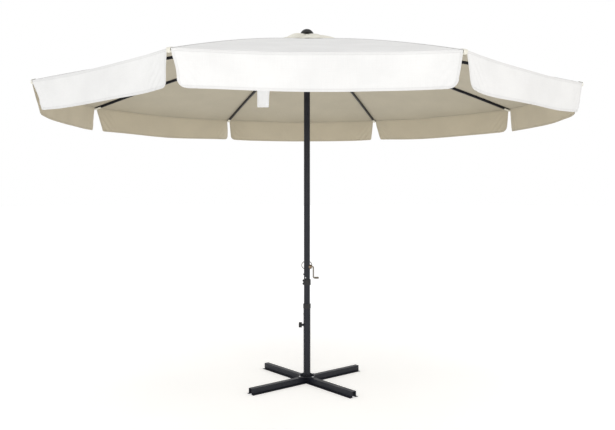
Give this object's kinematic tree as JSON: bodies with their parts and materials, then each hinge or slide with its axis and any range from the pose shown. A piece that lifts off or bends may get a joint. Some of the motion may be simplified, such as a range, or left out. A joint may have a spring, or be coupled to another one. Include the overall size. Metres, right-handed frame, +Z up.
{
  "type": "patio umbrella with base",
  "caption": "Octagonal crank patio umbrella with cream canopy and hanging valance on a dark two-piece steel mast in a cross-shaped beam base.",
  "frame": {"origin": "on the ground, under the mast's axis", "axes": "+Z up along the mast; the base plate is square to X and Y, the base legs run on the diagonals, the lock knob is on -X"},
  "size_m": [3.859, 3.859, 2.7673],
  "materials": {
    "frame_paint": "satin",
    "zinc_steel": "satin",
    "bright_steel": "polished",
    "black_plastic": "matte",
    "bronze": "satin",
    "canopy_fabric": "matte",
    "label_fabric": "matte"
  },
  "bodies": {
    "base": {"beam_a": "frame_paint", "beam_b": "frame_paint", "base_plate": "frame_paint", "base_tube": "frame_paint", "plate_bolts": "zinc_steel", "plate_nuts": "zinc_steel", "weld_nut": "zinc_steel", "tube_screw": "zinc_steel"},
    "swivel": {"tube_collar": "black_plastic"},
    "mast": {"lower_mast": "frame_paint", "upper_mast": "frame_paint", "join_collar": "black_plastic", "mast_screws": "black_plastic", "mast_rivet": "zinc_steel", "winch_bush": "bronze", "guard_hoop": "bright_steel", "crown": "black_plastic", "crown_pins": "zinc_steel", "finial": "black_plastic", "vent_cap": "canopy_fabric"},
    "lock_screw": {"lock_stud": "zinc_steel"},
    "lock_handle": {"lock_knob": "black_plastic"},
    "crank": {"crank_arm": "bright_steel", "spool": "zinc_steel"},
    "grip": {"crank_grip": "black_plastic"},
    "runner": {"runner": "black_plastic", "runner_pins": "zinc_steel"},
    "label": {"care_label": "label_fabric"},
    "rib_1": {"rib_1": "frame_paint"},
    "rib_2": {"rib_2": "frame_paint"},
    "rib_3": {"rib_3": "frame_paint"},
    "rib_4": {"rib_4": "frame_paint"},
    "rib_5": {"rib_5": "frame_paint"},
    "rib_6": {"rib_6": "frame_paint"},
    "rib_7": {"rib_7": "frame_paint"},
    "rib_8": {"rib_8": "frame_paint"},
    "strut_1": {"strut_1": "frame_paint"},
    "strut_2": {"strut_2": "frame_paint"},
    "strut_3": {"strut_3": "frame_paint"},
    "strut_4": {"strut_4": "frame_paint"},
    "strut_5": {"strut_5": "frame_paint"},
    "strut_6": {"strut_6": "frame_paint"},
    "strut_7": {"strut_7": "frame_paint"},
    "strut_8": {"strut_8": "frame_paint"},
    "gore_1": {"gore_1": "canopy_fabric"},
    "gore_2": {"gore_2": "canopy_fabric"},
    "gore_3": {"gore_3": "canopy_fabric"},
    "gore_4": {"gore_4": "canopy_fabric"},
    "gore_5": {"gore_5": "canopy_fabric"},
    "gore_6": {"gore_6": "canopy_fabric"},
    "gore_7": {"gore_7": "canopy_fabric"},
    "gore_8": {"gore_8": "canopy_fabric"},
    "valance_1": {"valance_1": "canopy_fabric"},
    "valance_2": {"valance_2": "canopy_fabric"},
    "valance_3": {"valance_3": "canopy_fabric"},
    "valance_4": {"valance_4": "canopy_fabric"},
    "valance_5": {"valance_5": "canopy_fabric"},
    "valance_6": {"valance_6": "canopy_fabric"},
    "valance_7": {"valance_7": "canopy_fabric"},
    "valance_8": {"valance_8": "canopy_fabric"}
  },
  "joints": [
    {"name": "mast_turn", "type": "hinge", "parent": "base", "child": "swivel", "pos_m": [0, 0, 0.615], "axis": [0, 0, 1], "continuous": true},
    {"name": "mast_lift", "type": "slide", "parent": "swivel", "child": "mast", "axis": [0, 0, 1], "range_m": [0, 0.5]},
    {"name": "lock_feed", "type": "slide", "parent": "base", "child": "lock_screw", "axis": [-1, 0, 0], "range_m": [0, 0.0046]},
    {"name": "lock_turn", "type": "hinge", "parent": "lock_screw", "child": "lock_handle", "pos_m": [-0.05, 0, 0.452], "axis": [-1, 0, 0], "range_deg": [0, 1080]},
    {"name": "canopy_fold", "type": "hinge", "parent": "mast", "child": "rib_1", "pos_m": [0.05201, 0.02991, 2.66889], "axis": [-0.4985, 0.8669, 0], "range_deg": [0, 73.3], "deforming": ["vent_cap"]},
    {"name": "strut_1_fold", "type": "hinge", "parent": "rib_1", "child": "strut_1", "pos_m": [0.68566, 0.39427, 2.50082], "axis": [-0.4985, 0.8669, 0], "range_deg": [-146.7, 0]},
    {"name": "rib_2_fold", "type": "hinge", "parent": "mast", "child": "rib_2", "pos_m": [0.01563, 0.05793, 2.66889], "axis": [-0.9655, 0.2605, 0], "range_deg": [0, 73.4]},
    {"name": "strut_2_fold", "type": "hinge", "parent": "rib_2", "child": "strut_2", "pos_m": [0.20604, 0.76362, 2.50082], "axis": [-0.9655, 0.2605, 0], "range_deg": [-146.7, 0]},
    {"name": "rib_3_fold", "type": "hinge", "parent": "mast", "child": "rib_3", "pos_m": [-0.02991, 0.05201, 2.66889], "axis": [-0.8669, -0.4985, 0], "range_deg": [0, 73.4]},
    {"name": "strut_3_fold", "type": "hinge", "parent": "rib_3", "child": "strut_3", "pos_m": [-0.39427, 0.68566, 2.50082], "axis": [-0.8669, -0.4985, 0], "range_deg": [-146.7, 0]},
    {"name": "rib_4_fold", "type": "hinge", "parent": "mast", "child": "rib_4", "pos_m": [-0.05793, 0.01563, 2.66889], "axis": [-0.2605, -0.9655, 0], "range_deg": [0, 73.4]},
    {"name": "strut_4_fold", "type": "hinge", "parent": "rib_4", "child": "strut_4", "pos_m": [-0.76362, 0.20604, 2.50082], "axis": [-0.2605, -0.9655, 0], "range_deg": [-146.7, 0]},
    {"name": "rib_5_fold", "type": "hinge", "parent": "mast", "child": "rib_5", "pos_m": [-0.05201, -0.02991, 2.66889], "axis": [0.4985, -0.8669, 0], "range_deg": [0, 73.4]},
    {"name": "strut_5_fold", "type": "hinge", "parent": "rib_5", "child": "strut_5", "pos_m": [-0.68566, -0.39427, 2.50082], "axis": [0.4985, -0.8669, 0], "range_deg": [-146.7, 0]},
    {"name": "rib_6_fold", "type": "hinge", "parent": "mast", "child": "rib_6", "pos_m": [-0.01563, -0.05793, 2.66889], "axis": [0.9655, -0.2605, 0], "range_deg": [0, 73.4]},
    {"name": "strut_6_fold", "type": "hinge", "parent": "rib_6", "child": "strut_6", "pos_m": [-0.20604, -0.76362, 2.50082], "axis": [0.9655, -0.2605, 0], "range_deg": [-146.7, 0]},
    {"name": "rib_7_fold", "type": "hinge", "parent": "mast", "child": "rib_7", "pos_m": [0.02991, -0.05201, 2.66889], "axis": [0.8669, 0.4985, 0], "range_deg": [0, 73.4]},
    {"name": "strut_7_fold", "type": "hinge", "parent": "rib_7", "child": "strut_7", "pos_m": [0.39427, -0.68566, 2.50082], "axis": [0.8669, 0.4985, 0], "range_deg": [-146.7, 0]},
    {"name": "rib_8_fold", "type": "hinge", "parent": "mast", "child": "rib_8", "pos_m": [0.05793, -0.01563, 2.66889], "axis": [0.2605, 0.9655, 0], "range_deg": [0, 73.4]},
    {"name": "strut_8_fold", "type": "hinge", "parent": "rib_8", "child": "strut_8", "pos_m": [0.76362, -0.20604, 2.50082], "axis": [0.2605, 0.9655, 0], "range_deg": [-146.7, 0]},
    {"name": "runner_slide", "type": "hinge", "parent": "strut_1", "child": "runner", "pos_m": [0.05201, 0.02991, 2.33275], "axis": [-0.4985, 0.8669, 0], "range_deg": [0, 73.4]},
    {"name": "gore_1_fold", "type": "hinge", "parent": "mast", "child": "gore_1", "pos_m": [0.03382, 0.04392, 2.66889], "axis": [-0.7923, 0.6101, 0], "range_deg": [0, 72.7], "deforming": ["gore_1"]},
    {"name": "valance_1_hang", "type": "hinge", "parent": "gore_1", "child": "valance_1", "pos_m": [1.1271, 1.46356, 2.244], "axis": [-0.7923, 0.6101, 0], "range_deg": [-72.7, 0], "deforming": ["valance_1"]},
    {"name": "gore_2_fold", "type": "hinge", "parent": "mast", "child": "gore_2", "pos_m": [-0.00714, 0.05497, 2.66889], "axis": [-0.9917, -0.1288, 0], "range_deg": [0, 72.7], "deforming": ["gore_2"]},
    {"name": "valance_2_hang", "type": "hinge", "parent": "gore_2", "child": "valance_2", "pos_m": [-0.23792, 1.83187, 2.244], "axis": [-0.9917, -0.1288, 0], "range_deg": [-72.7, 0], "deforming": ["valance_2"]},
    {"name": "gore_3_fold", "type": "hinge", "parent": "mast", "child": "gore_3", "pos_m": [-0.04392, 0.03382, 2.66889], "axis": [-0.6101, -0.7923, 0], "range_deg": [0, 72.7], "deforming": ["gore_3"]},
    {"name": "valance_3_hang", "type": "hinge", "parent": "gore_3", "child": "valance_3", "pos_m": [-1.46356, 1.1271, 2.244], "axis": [-0.6101, -0.7923, 0], "range_deg": [-72.7, 0], "deforming": ["valance_3"]},
    {"name": "gore_4_fold", "type": "hinge", "parent": "mast", "child": "gore_4", "pos_m": [-0.05497, -0.00714, 2.66889], "axis": [0.1288, -0.9917, 0], "range_deg": [0, 72.7], "deforming": ["gore_4"]},
    {"name": "valance_4_hang", "type": "hinge", "parent": "gore_4", "child": "valance_4", "pos_m": [-1.83187, -0.23792, 2.244], "axis": [0.1288, -0.9917, 0], "range_deg": [-72.7, 0], "deforming": ["valance_4"]},
    {"name": "gore_5_fold", "type": "hinge", "parent": "mast", "child": "gore_5", "pos_m": [-0.03382, -0.04392, 2.66889], "axis": [0.7923, -0.6101, 0], "range_deg": [0, 72.7], "deforming": ["gore_5"]},
    {"name": "valance_5_hang", "type": "hinge", "parent": "gore_5", "child": "valance_5", "pos_m": [-1.1271, -1.46356, 2.244], "axis": [0.7923, -0.6101, 0], "range_deg": [-72.7, 0], "deforming": ["valance_5"]},
    {"name": "gore_6_fold", "type": "hinge", "parent": "mast", "child": "gore_6", "pos_m": [0.00714, -0.05497, 2.66889], "axis": [0.9917, 0.1288, 0], "range_deg": [0, 72.7], "deforming": ["gore_6"]},
    {"name": "valance_6_hang", "type": "hinge", "parent": "gore_6", "child": "valance_6", "pos_m": [0.23792, -1.83187, 2.244], "axis": [0.9917, 0.1288, 0], "range_deg": [-72.7, 0], "deforming": ["valance_6"]},
    {"name": "gore_7_fold", "type": "hinge", "parent": "mast", "child": "gore_7", "pos_m": [0.04392, -0.03382, 2.66889], "axis": [0.6101, 0.7923, 0], "range_deg": [0, 72.7], "deforming": ["gore_7"]},
    {"name": "valance_7_hang", "type": "hinge", "parent": "gore_7", "child": "valance_7", "pos_m": [1.46356, -1.1271, 2.244], "axis": [0.6101, 0.7923, 0], "range_deg": [-72.7, 0], "deforming": ["valance_7"]},
    {"name": "gore_8_fold", "type": "hinge", "parent": "mast", "child": "gore_8", "pos_m": [0.05497, 0.00714, 2.66889], "axis": [-0.1288, 0.9917, 0], "range_deg": [0, 72.7], "deforming": ["gore_8"]},
    {"name": "valance_8_hang", "type": "hinge", "parent": "gore_8", "child": "valance_8", "pos_m": [1.83187, 0.23792, 2.244], "axis": [-0.1288, 0.9917, 0], "range_deg": [-72.7, 0], "deforming": ["valance_8"]},
    {"name": "label_hang", "type": "hinge", "parent": "gore_2", "child": "label", "pos_m": [-0.13684, 1.05361, 2.45634], "axis": [-0.9917, -0.1288, 0], "range_deg": [-72.7, 0], "deforming": ["care_label"]},
    {"name": "crank_turn", "type": "hinge", "parent": "mast", "child": "crank", "pos_m": [0, 0, 0.913], "axis": [0.9917, 0.1288, 0], "range_deg": [0, 4400]},
    {"name": "grip_spin", "type": "hinge", "parent": "crank", "child": "grip", "pos_m": [0.07388, 0.00959, 0.826], "axis": [0.9917, 0.1288, 0], "continuous": true}
  ],
  "couplings": [
    {"joint": "lock_feed", "follows": "lock_turn", "m_per_rad": 0.00023873},
    {"joint": "strut_1_fold", "follows": "canopy_fold", "ratio": -2},
    {"joint": "rib_2_fold", "follows": "canopy_fold", "ratio": 1},
    {"joint": "strut_2_fold", "follows": "canopy_fold", "ratio": -2},
    {"joint": "rib_3_fold", "follows": "canopy_fold", "ratio": 1},
    {"joint": "strut_3_fold", "follows": "canopy_fold", "ratio": -2},
    {"joint": "rib_4_fold", "follows": "canopy_fold", "ratio": 1},
    {"joint": "strut_4_fold", "follows": "canopy_fold", "ratio": -2},
    {"joint": "rib_5_fold", "follows": "canopy_fold", "ratio": 1},
    {"joint": "strut_5_fold", "follows": "canopy_fold", "ratio": -2},
    {"joint": "rib_6_fold", "follows": "canopy_fold", "ratio": 1},
    {"joint": "strut_6_fold", "follows": "canopy_fold", "ratio": -2},
    {"joint": "rib_7_fold", "follows": "canopy_fold", "ratio": 1},
    {"joint": "strut_7_fold", "follows": "canopy_fold", "ratio": -2},
    {"joint": "rib_8_fold", "follows": "canopy_fold", "ratio": 1},
    {"joint": "strut_8_fold", "follows": "canopy_fold", "ratio": -2},
    {"joint": "runner_slide", "follows": "canopy_fold", "ratio": 1},
    {"joint": "gore_1_fold", "follows": "canopy_fold", "ratio": 0.9904},
    {"joint": "valance_1_hang", "follows": "canopy_fold", "ratio": -0.9904},
    {"joint": "gore_2_fold", "follows": "canopy_fold", "ratio": 0.9904},
    {"joint": "valance_2_hang", "follows": "canopy_fold", "ratio": -0.9904},
    {"joint": "gore_3_fold", "follows": "canopy_fold", "ratio": 0.9904},
    {"joint": "valance_3_hang", "follows": "canopy_fold", "ratio": -0.9904},
    {"joint": "gore_4_fold", "follows": "canopy_fold", "ratio": 0.9904},
    {"joint": "valance_4_hang", "follows": "canopy_fold", "ratio": -0.9904},
    {"joint": "gore_5_fold", "follows": "canopy_fold", "ratio": 0.9904},
    {"joint": "valance_5_hang", "follows": "canopy_fold", "ratio": -0.9904},
    {"joint": "gore_6_fold", "follows": "canopy_fold", "ratio": 0.9904},
    {"joint": "valance_6_hang", "follows": "canopy_fold", "ratio": -0.9904},
    {"joint": "gore_7_fold", "follows": "canopy_fold", "ratio": 0.9904},
    {"joint": "valance_7_hang", "follows": "canopy_fold", "ratio": -0.9904},
    {"joint": "gore_8_fold", "follows": "canopy_fold", "ratio": 0.9904},
    {"joint": "valance_8_hang", "follows": "canopy_fold", "ratio": -0.9904},
    {"joint": "label_hang", "follows": "canopy_fold", "ratio": -0.9904},
    {"joint": "crank_turn", "follows": "canopy_fold", "ratio": 60}
  ]
}
